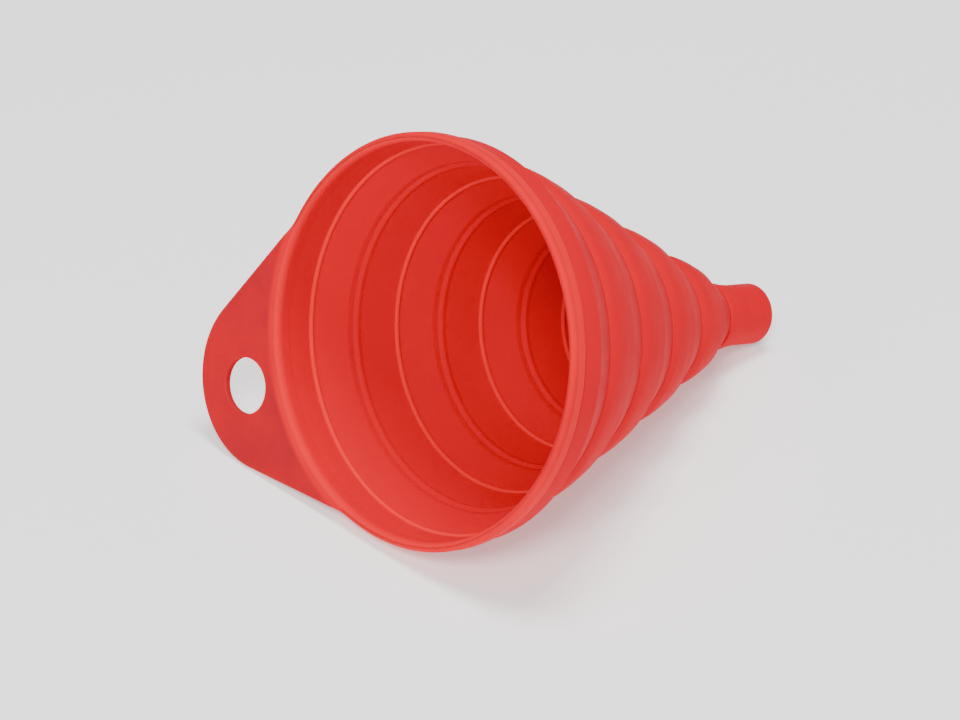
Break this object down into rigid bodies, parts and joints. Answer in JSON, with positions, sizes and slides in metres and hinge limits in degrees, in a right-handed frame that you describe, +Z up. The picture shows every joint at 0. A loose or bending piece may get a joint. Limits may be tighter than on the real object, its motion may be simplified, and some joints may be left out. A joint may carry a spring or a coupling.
{
  "type": "collapsible funnel",
  "caption": "Collapsible silicone funnel with a beaded mouth, stepped walls on fold webs that nest flat, a short straight spout and a flat hanging tab with a hole.",
  "frame": {"origin": "centre of the bounding box's base, on the surface the funnel lies on", "axes": "+Z up; +Y runs along the funnel from the mouth to the spout, seen from above; the mouth faces -Y and up, and the hanging tab points to -X"},
  "size_m": [0.1174, 0.1366, 0.0966],
  "materials": {
    "silicone": "satin"
  },
  "bodies": {
    "rim": {"rim_bead": "silicone", "rim_wall": "silicone", "hang_tab": "silicone", "fold_web_1": "silicone"},
    "tier_2": {"tier_ring_2": "silicone", "fold_web_2": "silicone"},
    "tier_3": {"tier_ring_3": "silicone", "fold_web_3": "silicone"},
    "tier_4": {"tier_ring_4": "silicone", "fold_web_4": "silicone"},
    "tier_5": {"tier_ring_5": "silicone", "fold_web_5": "silicone"},
    "spout": {"spout_collar": "silicone", "spout_tube": "silicone"}
  },
  "joints": [
    {"name": "fold_1", "type": "slide", "parent": "rim", "child": "tier_2", "axis": [0, -0.9396, 0.3421], "range_m": [0, 0.02], "deforming": ["fold_web_1"]},
    {"name": "fold_2", "type": "slide", "parent": "tier_2", "child": "tier_3", "axis": [0, -0.9396, 0.3421], "range_m": [0, 0.02], "deforming": ["fold_web_2"]},
    {"name": "fold_3", "type": "slide", "parent": "tier_3", "child": "tier_4", "axis": [0, -0.9396, 0.3421], "range_m": [0, 0.02], "deforming": ["fold_web_3"]},
    {"name": "fold_4", "type": "slide", "parent": "tier_4", "child": "tier_5", "axis": [0, -0.9396, 0.3421], "range_m": [0, 0.02], "deforming": ["fold_web_4"]},
    {"name": "fold_5", "type": "slide", "parent": "tier_5", "child": "spout", "axis": [0, -0.9396, 0.3421], "range_m": [0, 0.02], "deforming": ["fold_web_5"]}
  ]
}
